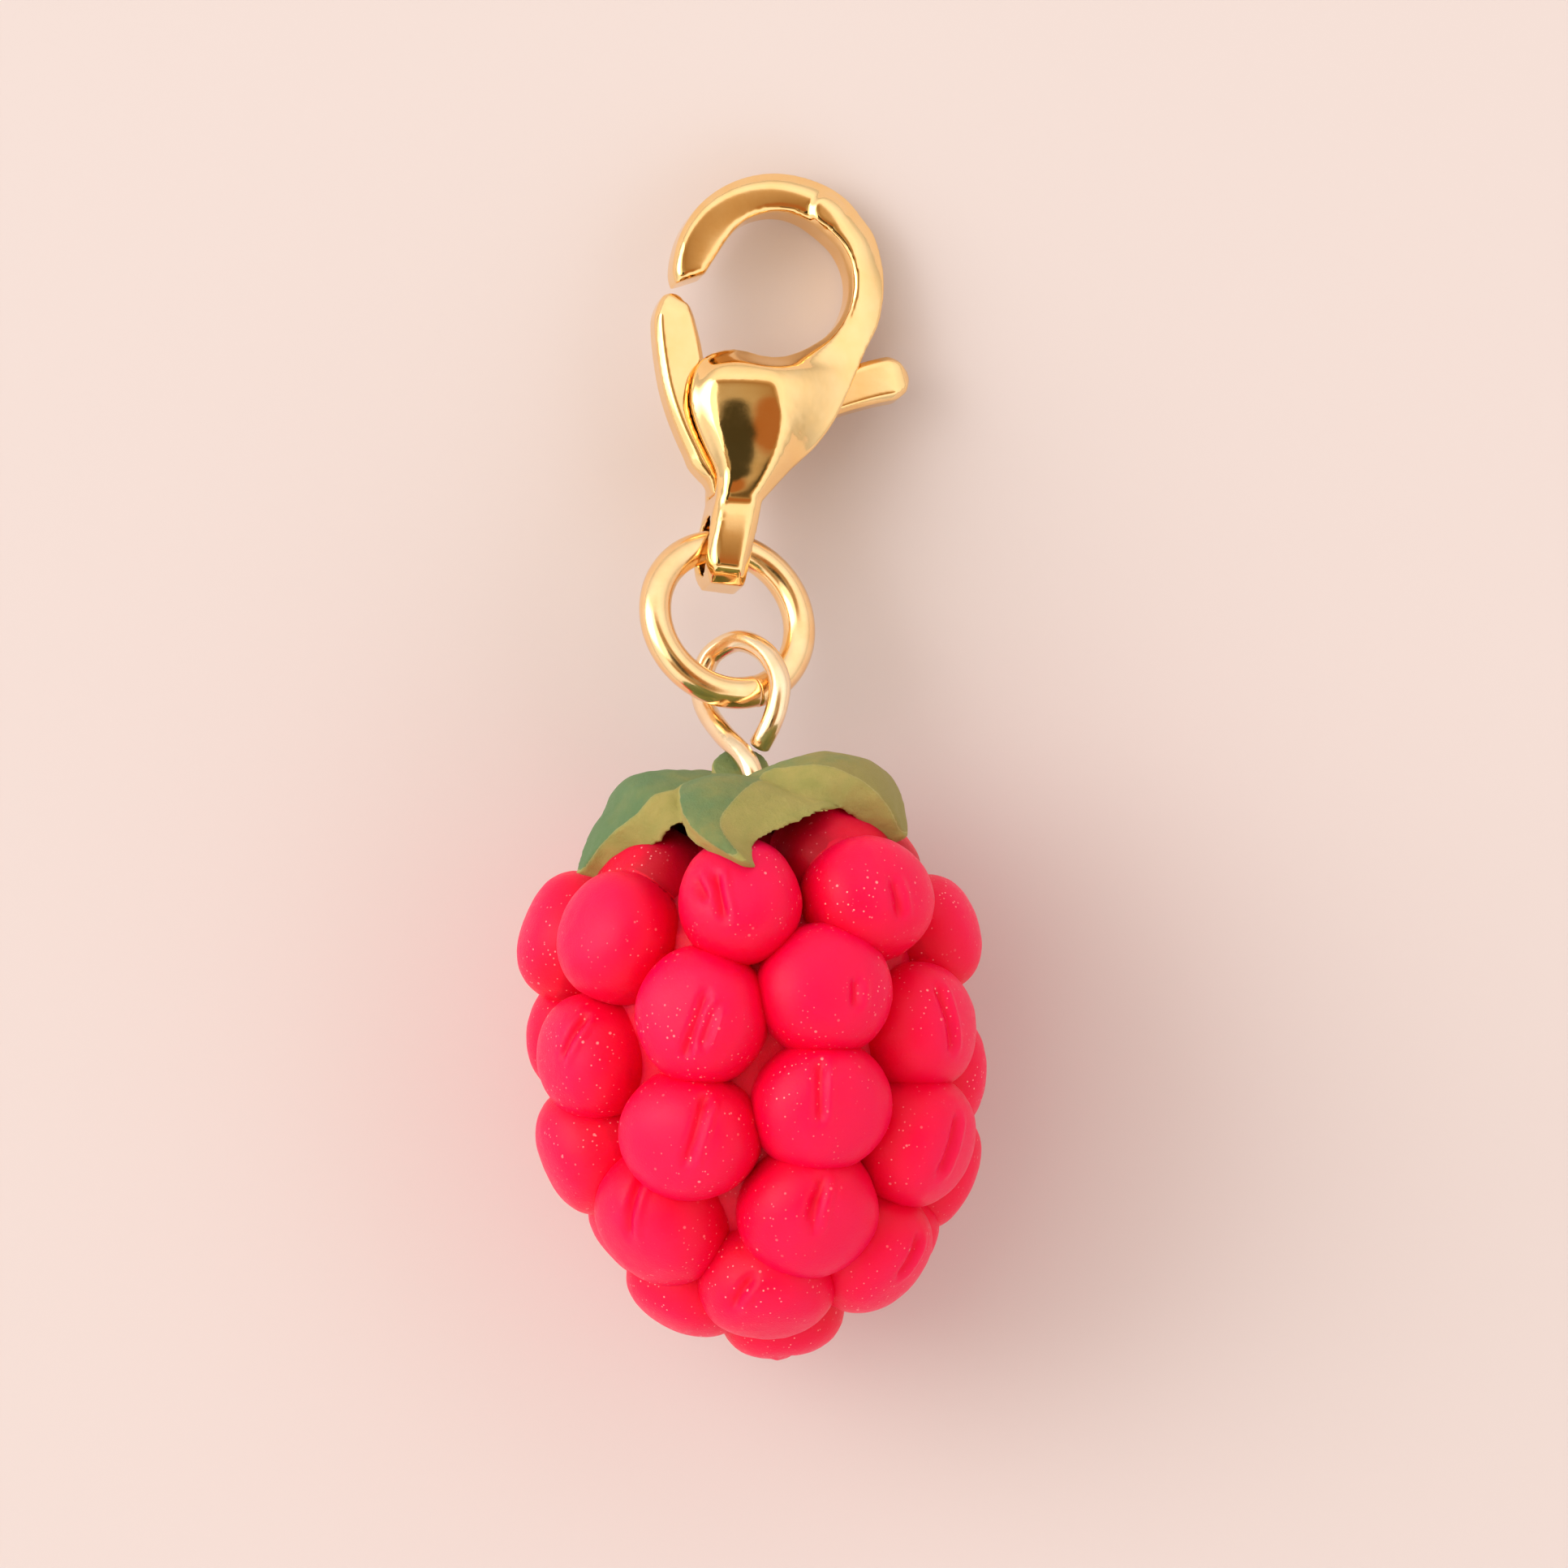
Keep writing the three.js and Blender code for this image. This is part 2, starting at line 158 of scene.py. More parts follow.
def bar(name, stations, steps=160, grow=0.0, detail=7, roll=0.0):
    """A bar along stations [u, v, half width, half thickness, left facet, right facet].

    Its flat front and back faces run from the right facet to the left one, as
    shares of the half width, and slopes lead from them to its sides. It is
    rolled about its own middle line by some degrees.
    """
    lean = math.tan(math.radians(roll))
    stations = np.asarray(stations, float)
    t = np.linspace(0, 1, steps)
    middle = catmull(stations[:, :2], t)
    along = catmull(stations[:, :2], t + 1e-3) - catmull(stations[:, :2], t - 1e-3)
    along /= np.linalg.norm(along, axis=1)[:, None]
    size = catmull(stations[:, 2:4], t)
    facets = catmull(stations[:, 4:6], t)
    rings = []
    for at, way, (wide, thick), (left, right) in zip(middle, along, size, facets):
        corners = [
            (1, -BAR_SIDE), (1, BAR_SIDE), (left, 1), (right, 1),
            (-1, BAR_SIDE), (-1, -BAR_SIDE), (right, -1), (left, -1),
        ]
        ring = []
        for (a, b), (c, d) in zip(corners, corners[1:] + corners[:1]):
            for k in range(detail):
                share = k / detail
                out = (a + (c - a) * share) * (wide + grow)
                rise = (b + (d - b) * share) * (thick + grow) - out * lean
                ring.append((at[0] - way[1] * out, at[1] + way[0] * out, rise))
        rings.append(ring)
    return skin(name, rings)


def combine(obj, others, operation="UNION"):
    """Joins or cuts obj with the other objects, which are used up."""
    group = bpy.data.collections.new("operands")
    bpy.context.scene.collection.children.link(group)
    for other in others:
        for home in list(other.users_collection):
            home.objects.unlink(other)
        group.objects.link(other)
    modifier = obj.modifiers.new("boolean", "BOOLEAN")
    modifier.operation = operation
    modifier.operand_type = "COLLECTION"
    modifier.collection = group
    modifier.solver = "MANIFOLD"
    apply_modifiers(obj)
    for other in others:
        data = other.data
        bpy.data.objects.remove(other)
        bpy.data.meshes.remove(data)
    bpy.data.collections.remove(group)
    return obj


def apply_modifiers(obj):
    """Bakes an object's modifiers into its mesh."""
    graph = bpy.context.evaluated_depsgraph_get()
    mesh = bpy.data.meshes.new_from_object(obj.evaluated_get(graph))
    old = obj.data
    obj.modifiers.clear()
    obj.data = mesh
    bpy.data.meshes.remove(old)


def melt(obj, voxel, rounds):
    """Turns a joined mesh into one even skin, then softens its edges."""
    modifier = obj.modifiers.new("remesh", "REMESH")
    modifier.mode = "VOXEL"
    modifier.voxel_size = voxel
    smooth = obj.modifiers.new("smooth", "SMOOTH")
    smooth.factor = 0.5
    smooth.iterations = rounds
    apply_modifiers(obj)


def cylinder(name, radius, length, sides=48):
    """A cylinder along Z, its middle at the origin."""
    turn = np.linspace(0, 2 * math.pi, sides, endpoint=False)
    rings = [
        [(radius * math.cos(a), radius * math.sin(a), z) for a in turn]
        for z in (-length / 2, length / 2)
    ]
    return skin(name, rings)


def vertex_data(obj, name):
    """A vector of each of the mesh's vertices: co, its place, or normal."""
    found = np.empty(len(obj.data.vertices) * 3)
    obj.data.vertices.foreach_get(name, found)
    return found.reshape(-1, 3)


def store(obj, name, values):
    """Keeps one number for each vertex, which a material can read by name."""
    attribute = obj.data.attributes.new(name, "FLOAT", "POINT")
    attribute.data.foreach_set("value", values.astype(np.float32))


def box(name, size, at):
    """A box by its size and the place of its middle."""
    corners = [
        (at[0] + size[0] * x, at[1] + size[1] * y, at[2] + size[2] * z)
        for x in (-0.5, 0.5)
        for y in (-0.5, 0.5)
        for z in (-0.5, 0.5)
    ]
    faces = [(0, 1, 3, 2), (4, 6, 7, 5), (0, 4, 5, 1), (2, 3, 7, 6), (0, 2, 6, 4), (1, 5, 7, 3)]
    return mesh_object(name, corners, faces)


def roughen(obj, lumps):
    """Moves each point along its normal by noise of some heights and sizes."""
    where = vertex_data(obj, "co")
    rise = [sum(height * noise.noise(spot / size) for height, size in lumps) for spot in where]
    moved = where + vertex_data(obj, "normal") * np.array(rise)[:, None]
    obj.data.vertices.foreach_set("co", moved.ravel())


def distance_to(points, where):
    """Distance from each place to the nearest of the points."""
    tree = KDTree(len(points))
    for i, point in enumerate(points):
        tree.insert(point, i)
    tree.balance()
    return np.array([tree.find(spot)[2] for spot in where])


def place(obj, frame_matrix, body, slot, replaced, material):
    """Moves a piece modelled in millimetres to where it belongs, in metres."""
    obj.data.transform(Matrix.Scale(MM, 4) @ frame_matrix)
    obj.data.materials.clear()
    obj.data.materials.append(material)
    obj.data.polygons.foreach_set("use_smooth", [True] * len(obj.data.polygons))
    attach(obj, body)
    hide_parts(replaced)


def turned(at, about_x, about_y):
    """The frame at a place, turned about Y and then about X by some degrees."""
    spin = Matrix.Rotation(math.radians(about_x), 4, "X") @ Matrix.Rotation(math.radians(about_y), 4, "Y")
    return Matrix.Translation(at) @ spin


def random_from(seed):
    """Endless numbers from 0 to 1, the same ones for the same seed."""
    state = seed
    while True:
        state = (state * 16807) % 2147483647
        yield state / 2147483647


# ---- material helpers ----
BLACK = (0, 0, 0)
WHITE = (1, 1, 1)
MIX_UNDER, MIX_OVER, MIX_RESULT = 6, 7, 2  # a mix node's sockets for colours
PER_MM = 1000  # scale that turns metres into millimetres


def new_material(name):
    """A new material, its nodes and its links."""
    material = bpy.data.materials.new(name)
    material.use_nodes = True
    return material, material.node_tree.nodes, material.node_tree.links


def add(nodes, kind, **values):
    """A new node, with values for its sockets and settings."""
    node = nodes.new(kind)
    for key, value in values.items():
        if key in node.inputs:
            node.inputs[key].default_value = value
        else:
            setattr(node, key, value)
    return node


def ramp(nodes, links, source, stops):
    """Colours by the source's value, from stops of (value, colour)."""
    node = nodes.new("ShaderNodeValToRGB")
    elements = node.color_ramp.elements
    while len(elements) < len(stops):
        elements.new(0.5)
    for element, (position, colour) in zip(elements, stops):
        element.position = position
        element.color = (*colour, 1)
    links.new(source, node.inputs[0])
    return node.outputs[0]


def piece_coordinates(nodes, links):
    """The place on the piece, in millimetres."""
    metres = nodes.new("ShaderNodeTexCoord")
    mapping = nodes.new("ShaderNodeMapping")
    mapping.inputs["Scale"].default_value = (PER_MM,) * 3
    links.new(metres.outputs["Object"], mapping.inputs["Vector"])
    return mapping.outputs[0]


def clouds(nodes, links, where, **values):
    """Noise at each place."""
    node = add(nodes, "ShaderNodeTexNoise", **values)
    links.new(where, node.inputs["Vector"])
    return node.outputs["Fac"]


def mix(nodes, links, share, under, over):
    """Colour under, covered with over, another socket or a plain colour, by share."""
    node = add(nodes, "ShaderNodeMix", data_type="RGBA")
    links.new(share, node.inputs["Factor"])
    links.new(under, node.inputs[MIX_UNDER])
    if isinstance(over, tuple):
        node.inputs[MIX_OVER].default_value = (*over, 1)
    else:
        links.new(over, node.inputs[MIX_OVER])
    return node.outputs[MIX_RESULT]


def multiply_add(nodes, links, value, factor, added):
    """value * factor + added, where factor is a plain number."""
    node = add(nodes, "ShaderNodeMath", operation="MULTIPLY_ADD")
    links.new(value, node.inputs[0])
    node.inputs[1].default_value = factor
    links.new(added, node.inputs[2])
    return node.outputs[0]


def raise_skin(nodes, links, shader, height, strength, distance):
    """Gives a shader a fine relief that follows height."""
    bump = add(nodes, "ShaderNodeBump", Strength=strength, Distance=distance)
    links.new(height, bump.inputs["Height"])
    links.new(bump.outputs[0], shader.inputs["Normal"])


# ---- materials ----
def red_clay():
    """Translucent red polymer clay with specks of white dust, and painted light: a pale painted highlight
    on each drupelet's crest and painted shade in the crevices, slits and under the calyx.
    """
    material, nodes, links = new_material("red_clay")
    shader = nodes["Principled BSDF"]
    shader.inputs["Subsurface Weight"].default_value = 0.5
    shader.inputs["Subsurface Radius"].default_value = (1.0, 0.05, 0.15)
    shader.inputs["Subsurface Scale"].default_value = 0.001
    shader.inputs["Specular IOR Level"].default_value = 0.2
    where = piece_coordinates(nodes, links)
    cloud = clouds(nodes, links, where, Scale=0.9, Detail=5.0, Roughness=0.6)
    crest = add(nodes, "ShaderNodeAttribute", attribute_name="crest").outputs["Fac"]
    tone_and_painted_light = multiply_add(nodes, links, cloud, 0.3, crest)
    # Painted light: the low end is painted shade (crevices, slits, under the calyx) and the high end a pale
    # painted highlight on the crests; the noise adds the clay's own uneven tone.
    colour = ramp(nodes, links, tone_and_painted_light, [
        (0.0, (0.55, 0.0, 0.02)), (0.2, (0.84, 0.0, 0.036)), (0.5, (0.88, 0.0, 0.045)),
        (0.85, (0.92, 0.0, 0.066)), (1.0, (0.92, 0.003, 0.08)),
    ])
    patches = clouds(nodes, links, where, Scale=0.45, Detail=2.0)
    dusty = ramp(nodes, links, patches, [(0.42, BLACK), (0.66, WHITE)])
    for scale, size in ((2.2, 0.11), (5.5, 0.16)):
        dust = add(nodes, "ShaderNodeTexVoronoi", Scale=scale, Randomness=1.0)
        links.new(where, dust.inputs["Vector"])
        speck = ramp(nodes, links, dust.outputs["Distance"], [(size * 0.6, WHITE), (size, BLACK)])
        both = add(nodes, "ShaderNodeMath", operation="MULTIPLY")
        links.new(speck, both.inputs[0])
        links.new(dusty, both.inputs[1])
        colour = mix(nodes, links, both.outputs[0], colour, (1.0, 0.42, 0.42))
    links.new(colour, shader.inputs["Base Color"])
    rough = clouds(nodes, links, where, Scale=6.0, Detail=4.0)
    matt = ramp(nodes, links, rough, [(0.3, (0.34, 0.34, 0.34)), (0.7, (0.44, 0.44, 0.44))])
    links.new(matt, shader.inputs["Roughness"])
    grain = clouds(nodes, links, where, Scale=14.0, Detail=6.0, Roughness=0.65)
    raise_skin(nodes, links, shader, grain, 0.3, 0.00005)
    return material


def green_clay():
    """Matt green clay: bluish green on the leaves' faces, olive on their cut sides, with a painted
    highlight along the edges between them.
    """
    material, nodes, links = new_material("green_clay")
    shader = nodes["Principled BSDF"]
    shader.inputs["Subsurface Weight"].default_value = 0.12
    shader.inputs["Subsurface Radius"].default_value = (0.6, 0.8, 0.3)
    shader.inputs["Subsurface Scale"].default_value = 0.0005
    shader.inputs["Roughness"].default_value = 0.62
    where = piece_coordinates(nodes, links)
    cloud = clouds(nodes, links, where, Scale=0.8, Detail=6.0, Roughness=0.6, Distortion=0.4)
    split = nodes.new("ShaderNodeSeparateXYZ")
    links.new(where, split.inputs[0])
    marbled = multiply_add(nodes, links, split.outputs["X"], 0.09, cloud)
    face = ramp(nodes, links, marbled, [
        (0.2, (0.13, 0.24, 0.09)), (0.5, (0.22, 0.28, 0.09)), (0.75, (0.36, 0.31, 0.085)),
    ])
    cut = ramp(nodes, links, cloud, [(0.35, (0.38, 0.36, 0.09)), (0.65, (0.5, 0.42, 0.12))])
    side = add(nodes, "ShaderNodeAttribute", attribute_name="cut_side").outputs["Fac"]
    # Painted highlight: a pale line where a leaf's face meets its cut side.
    painted_edge_highlight = ramp(nodes, links, side, [(0.2, BLACK), (0.45, (0.6, 0.6, 0.6)), (0.7, BLACK)])
    colour = mix(nodes, links, painted_edge_highlight, mix(nodes, links, side, face, cut), (0.6, 0.53, 0.22))
    links.new(colour, shader.inputs["Base Color"])
    grain = clouds(nodes, links, where, Scale=5.0, Detail=8.0, Roughness=0.75)
    raise_skin(nodes, links, shader, grain, 0.9, 0.00012)
    return material


def metal(name, dark, bright, rough):
    """Polished metal with a faint wave and fine wear in its plating."""
    material, nodes, links = new_material(name)
    shader = nodes["Principled BSDF"]
    shader.inputs["Metallic"].default_value = 1.0
    where = piece_coordinates(nodes, links)
    cloud = clouds(nodes, links, where, Scale=1.2, Detail=4.0)
    colour = ramp(nodes, links, cloud, [(0.3, dark), (0.7, bright)])
    links.new(colour, shader.inputs["Base Color"])
    wear = clouds(nodes, links, where, Scale=9.0, Detail=8.0, Roughness=0.7)
    low, high = ((rough * share,) * 3 for share in (0.7, 1.5))
    links.new(ramp(nodes, links, wear, [(0.35, low), (0.75, high)]), shader.inputs["Roughness"])
    raise_skin(nodes, links, shader, cloud, 0.06, 0.00003)
    return material


RED_CLAY = red_clay()
GREEN_CLAY = green_clay()
GOLD = metal("gold", (0.98, 0.65, 0.27), (1.0, 0.71, 0.34), 0.08)
RING_GOLD = metal("ring_gold", (0.98, 0.64, 0.3), (1.0, 0.74, 0.4), 0.17)
WIRE_GOLD = metal("wire_gold", (0.98, 0.72, 0.42), (1.0, 0.82, 0.55), 0.18)
STEEL = metal("steel", (0.4, 0.4, 0.4), (0.5, 0.5, 0.5), 0.25)

# ---- berry ----
BERRY_TOP = (-0.25, -0.4, 5.9)  # centre of the calyx, on the berry's axis
BERRY_LEAN = 3  # degrees that the berry's tip turns towards +X
BERRY_DEPTH = 0.93  # depth over width, because the clay is a little flattened
BERRY_HALF = (6.4, 8.2)  # half width and half length, which tilt the drupelets
BERRY_MIDDLE = 7.4  # distance of the middle from the top
DRUPELET_SPREAD = 0.04  # random spread of the drupelets' sizes
DRUPELET_WIDE = 1.12  # how much wider a drupelet is than it is deep
DRUPELET_STRETCH = 0.1  # random spread of its length over its width
DRUPELET_LUMPS = [(0.07, 1.1), (0.012, 5)]  # height, and waves for each radius
NOISE_ROOM = 50  # range of the noise that the drupelets' lumps are taken from
PILLOW = 0.07  # bulge of a drupelet's flanks, as a share of its radius
RANDOM_SEED = 7
SLIT_DEPTH = 0.17
SLIT_HALF = 0.13  # half width
SLIT_END = 0.05  # length over which a slit's ends fade out
SLIT_LENGTH = 0.55  # half length of a slit on the back, before its random size
SLIT_SIZES = (0.8, 0.6)  # its least size, and the spread above it
SLIT_ASIDE = 0.4  # radians between the slits that lie furthest to each side
SLIT_TILT = 44  # degrees between the most tilted slits on the back
BACK = 100  # degrees round from which a drupelet is on the back
LIP = (0.27, 0.1, 0.06)  # distance from a slit's middle, half width and height
TABLE = (40, 40, 4)  # what the berry's back is flattened by
SHARP = 38  # degrees between faces that meet in a crease
UNDER_CALYX = 3  # drupelets whose centres are less far down than this get painted shade from the calyx
PAINTED_CALYX_SHADE = 0.9  # how much painted shade that is, taken off their painted highlight
SLIT_SHADE = (0.05, 0.14, 0.35)  # depths between which a dent loses its painted highlight and takes painted shade, and how much
CREVICE = (0.15, 0.3)  # depths between which the painted highlight ends and the crevices take painted shade
berry_frame = Matrix.Translation(BERRY_TOP) @ Matrix.Rotation(math.radians(BERRY_LEAN), 4, "Z")

# Each row: distance of the centres from the axis, radius, and for each drupelet its
# degrees round from +Z towards +X, its distance down from the top and its size if not 1.
ROWS = [
    (3.1, 1.55, [(-57, 2.8), (46, 2.45), (98, 2.6), (150, 2.7), (-155, 2.7), (-106, 2.7)]),
    (4.75, 1.66, [
        (-90, 4.2), (-48, 4.2), (-3, 3.4, 0.93), (42, 3.5),
        (86, 4.6, 0.93), (131, 4.5), (177, 4.2), (-136, 4.4),
    ]),
    (4.8, 1.66, [
        (-105, 6.9), (-64, 7.4), (-17, 6.4), (23, 5.9), (63, 7.1),
        (104, 8.4, 0.96), (143, 7.5), (-179, 7.2), (-142, 7.5),
    ]),
    (4.55, 1.7, [(-79, 9.9), (-25, 9.6), (21, 9), (62, 10.1), (112, 10.9), (-120, 10.2)]),
    (4.97, 1.7, [(157, 10.4), (-160, 10.5)]),
    (3.6, 1.72, [(-49, 11.8), (18, 11.8), (160, 12.8), (-145, 12.9)]),
    (3.1, 1.65, [(-92, 12), (60, 13), (112, 12.7)]),
    (2.1, 1.65, [(-80, 13.6), (-2, 13.7), (175, 13.9)]),
    (0.5, 1.6, [(150, 14.5)]),
]
# The slits in the front's drupelets, by the drupelet's degrees and distance down, as
# (x0, y0, x1, y1) seen from the front.
SLITS = {
    (-3, 3.4): [(-0.88, -2.56, -0.68, -3.74), (-1.4, -2.69, -1.16, -3.21)],
    (42, 3.5): [(3.95, -2.98, 4.06, -3.92)],
    (-64, 7.4): [(-4.62, -6.29, -5.34, -7.37)],
    (-17, 6.4): [(-1.29, -5.75, -1.95, -7.36), (-1.11, -6.15, -1.52, -7.15)],
    (23, 5.9): [(2.79, -5.61, 2.7, -6.36)],
    (63, 7.1): [(4.99, -6.02, 5.28, -7.73)],
    (-25, 9.6): [(-1.49, -8.61, -2.09, -10.35)],
    (21, 9): [(1.69, -7.89, 1.61, -9.4)],
    (62, 10.1): [(5.32, -9.59, 4.77, -11.07)],
    (-49, 11.8): [(-3.26, -10.64, -3.75, -12.31)],
    (18, 11.8): [(1.56, -11.01, 1.24, -12.43), (1.36, -11.39, 1.12, -12.15)],
    (60, 13): [(4.08, -12.83, 3.56, -13.87)],
    (-2, 13.7): [(-0.43, -13.62, -1.0, -14.38)],
}
# The clay between the drupelets: its distance from the axis, and down from the top.
CORE = [
    (0, 14.6), (2.4, 13.5), (3.8, 11.6), (4.6, 9.4), (4.9, 6.8),
    (4.7, 4.2), (3.6, 2.7), (2.4, 1.6), (0, 1.2),
]


def ball_grid():
    """Directions all over a ball, close together near its Z axis, in rows along Y."""
    close = np.radians(np.arange(-19.5, 19.6, 1.5))
    wide = np.radians(np.arange(26, 105, 6.5))
    back = np.radians(np.arange(112, 180, 12))
    longitude = np.concatenate([-back[::-1], -wide[::-1], close, wide, back])
    latitude = np.radians(np.linspace(-86, 86, 50))[:, None]
    across = np.cos(latitude) * np.sin(longitude)
    along = np.sin(latitude) * np.ones(len(longitude))
    out = np.cos(latitude) * np.cos(longitude)
    return np.stack([across, along, out], axis=2)


BALL = ball_grid()


def slit_axes(start, end):
    """Unit axes of a slit between two points of a ball: across it, along it and out of it."""
    out = (start + end).normalized()
    along = (start - end).normalized()
    across = along.cross(out)
    return np.array([across, along, out])


class Nest:
    """A drupelet's place: its ball, stretched, turned outwards and moved to its centre."""

    def __init__(self, out, radius, angle, down, stretch):
        rise = math.atan2((BERRY_MIDDLE - down) / BERRY_HALF[1] ** 2, out / BERRY_HALF[0] ** 2)
        around = math.radians(angle)
        turn = Matrix.Rotation(around, 3, "Y") @ Matrix.Rotation(-rise, 3, "X")
        sizes = Matrix.Diagonal((stretch, DRUPELET_WIDE**2 / stretch, 1))
        self.radius = radius
        # Painted shade for the drupelets under the calyx.
        self.calyx_shade = PAINTED_CALYX_SHADE if down < UNDER_CALYX else 0
        self.matrix = turn @ sizes
        self.centre = Vector((out * math.sin(around), -down, out * math.cos(around) * BERRY_DEPTH))

    def below(self, x, y):
        """The direction, in the ball, of its point that the front view shows at (x, y)."""
        back = self.matrix.inverted()
        flat = back @ Vector((x - self.centre.x, y - self.centre.y, 0))
        lift = back @ Vector((0, 0, 1))
        half = flat.dot(lift)
        room = max(0, half**2 - lift.length_squared * (flat.length_squared - self.radius**2))
        return (flat + lift * (math.sqrt(room) - half) / lift.length_squared).normalized()


def pillow(outward):
    """Shape of a drupelet by the cosine of the angle from its outermost spot."""
    return 1 + PILLOW * 4 * outward**2 * (1 - outward**2) * (outward > 0)


def drupelet(name, out, radius, chance, angle, down, size=1):
    """A lumpy ball with its pressed slits, and its nest."""
    radius *= size * (1 + DRUPELET_SPREAD * (next(chance) - 0.5))
    stretch = DRUPELET_WIDE * (1 + DRUPELET_STRETCH * (next(chance) - 0.5))
    nest = Nest(out, radius, angle, down, stretch)
    tilt = math.radians(SLIT_TILT * (next(chance) - 0.5))
    least, spread = SLIT_SIZES
    length = SLIT_LENGTH * (least + spread * next(chance)) / radius
    aside = SLIT_ASIDE * (next(chance) - 0.5)
    offset = np.array([next(chance) * NOISE_ROOM, next(chance) * NOISE_ROOM, 0])
    if (angle, down) in SLITS:
        ends = [(nest.below(x0, y0), nest.below(x1, y1)) for x0, y0, x1, y1 in SLITS[angle, down]]
    elif abs(angle) > BACK:
        turn = Matrix.Rotation(tilt, 3, "Z") @ Matrix.Rotation(aside, 3, "Y")
        ends = [tuple(turn @ Vector((0, math.sin(a), math.cos(a))) for a in (length, -length))]
    else:
        ends = []
    slits = [slit_axes(*pair) for pair in ends]
    directions = BALL @ slits[0] if slits else BALL
    height = radius * pillow(directions[:, :, 2])
    for (start, end), axes in zip(ends, slits):
        across, along, outward = np.moveaxis(directions @ axes.T, 2, 0)
        past = radius * (np.abs(np.arctan2(along, outward)) - start.angle(end) / 2)
        reach = (outward > 0) / (1 + np.exp(past / SLIT_END))
        lip_at, lip_half, lip_height = LIP
        height -= SLIT_DEPTH * np.exp(-((radius * across / SLIT_HALF) ** 2)) * reach
        height += lip_height * np.exp(-(((radius * across - lip_at) / lip_half) ** 2)) * reach
    rings = []
    for directions_row, height_row in zip(directions, height):
        ring = []
        for direction, reached in zip(directions_row, height_row):
            lumpy = sum(high * noise.noise(direction * waves + offset) for high, waves in DRUPELET_LUMPS)
            ring.append(nest.centre + nest.matrix @ Vector(direction * (reached + lumpy)))
        rings.append(ring)
    return skin(name, rings), nest


def core():
    """The clay that the drupelets stand on."""
    turn = np.linspace(0, 2 * math.pi, 48, endpoint=False)
    rings = []
    for out, down in CORE:
        out = max(out, 0.01)
        rings.append([(out * math.cos(a), -down, out * math.sin(a) * BERRY_DEPTH) for a in turn])
    return skin("berry_clay", rings)


def paint_crest_light(obj, nests):
    """Stores the painted light at each point: a painted highlight most on a drupelet's crest, painted shade
    in its slits, in the crevices and under the calyx.
    """
    where = vertex_data(obj, "co")
    nearest = np.full(len(where), np.inf)
    crest = np.zeros(len(where))
    shallow, deep, lost = SLIT_SHADE
    for nest in nests:
        local = (where - np.array(nest.centre)) @ np.array(nest.matrix.inverted()).T
        distance = np.linalg.norm(local, axis=1)
        facing = np.clip(local[:, 2] / np.maximum(distance, 1e-6), 0, 1)
        dent = nest.radius * pillow(facing) - distance
        # Painted highlight by how far a point faces out, less painted shade under the calyx and in the
        # slits.
        shown = facing - nest.calyx_shade - lost * smooth_step(dent, shallow, deep)
        crest = np.where(np.abs(dent) < nearest, shown, crest)
        nearest = np.minimum(np.abs(dent), nearest)
    # Painted shade in the crevices, far from every drupelet's skin.
    crest *= 1 - smooth_step(nearest, *CREVICE)
    store(obj, "crest", crest)


def berry():
    """The core and its drupelets in one, flattened by the table under it."""
    chance = random_from(RANDOM_SEED)
    balls = []
    nests = []
    for out, radius, places in ROWS:
        for where in places:
            ball, nest = drupelet("drupelet", out, radius, chance, *where)
            balls.append(ball)
            nests.append(nest)
    body = combine(core(), balls)
    table = box("table", TABLE, (0, -8, -BERRY_TOP[2] - TABLE[2] / 2))
    combine(body, [table], "DIFFERENCE")
    paint_crest_light(body, nests)
    place(body, berry_frame, "berry", "red_clay", "berry", RED_CLAY)
    body.data.set_sharp_from_angle(angle=math.radians(SHARP))


# ---- calyx ----
LEAF_THICK = 0.88
CALYX_DISC = 1.9  # radius of the middle of the calyx
CALYX_MELT = (0.065, 5)  # voxel, and rounds of smoothing
LEAF_LUMPS = [(0.07, 1.1), (0.03, 0.35)]  # height and size
LEAF_GRID = (70, 24)  # steps along a leaf and across it
WALL_STEPS = 12  # points across a leaf's wall, which tell it from the leaf's faces
CUT_EDGE = (-0.02, 0.12)  # how much nearer a wall than a face the cut side starts and is full
# Each sepal: degrees round, half width, droop of its edges per square mm, how far
# its cut side slants out (the right side, or below zero the left one), degrees that
# its face has turned down at the tip, how far the tip hooks to the right, and its
# middle: [distance out, rise].
SEPALS = [
    (-13, 1.0, 0.2, 2.2, 70, 1.3, [
        (0, 0), (1.3, 0.12), (2.7, 0.15), (3.8, 0.0), (4.8, -0.5), (5.6, -1.2), (6.05, -2.2),
    ]),
    (66, 1.6, 0.14, -0.7, 70, 0, [
        (0, 0), (1.2, 0.42), (2.2, 0.62), (3.3, 0.5), (4.1, 0.0), (4.6, -0.8), (4.85, -1.8),
    ]),
    (140, 1.6, 0.25, 0.3, 70, 0, [
        (0, 0), (1.1, 0.2), (2.3, 0.3), (3.2, 0.1), (3.8, -0.6), (4.2, -1.4), (4.5, -2.3),
    ]),
    (-146, 1.6, 0.25, 0.3, 70, 0, [
        (0, 0), (1.1, 0.2), (2.3, 0.3), (3.2, 0.1), (3.8, -0.5), (4.2, -1.1), (4.5, -1.7),
    ]),
    (-68, 1.75, 0.18, 0.7, 70, 0, [
        (0, 0), (1.2, 0.25), (2.5, 0.34), (3.45, 0.12), (3.95, -0.6), (4.5, -1.3), (5.1, -2.35),
    ]),
    (187, 0.75, 0.1, 0.1, 0, 0, [(0, 0), (0.5, 0.4), (1.0, 0.75), (1.6, 0.9)]),
]


def leaf_width(t):
    """Half width of a sepal along its length: a broad leaf that ends in a point."""
    return (0.6 + 0.4 * np.sin(math.pi * min(1, 1.15 * t))) * (1 - t**4) + 0.08


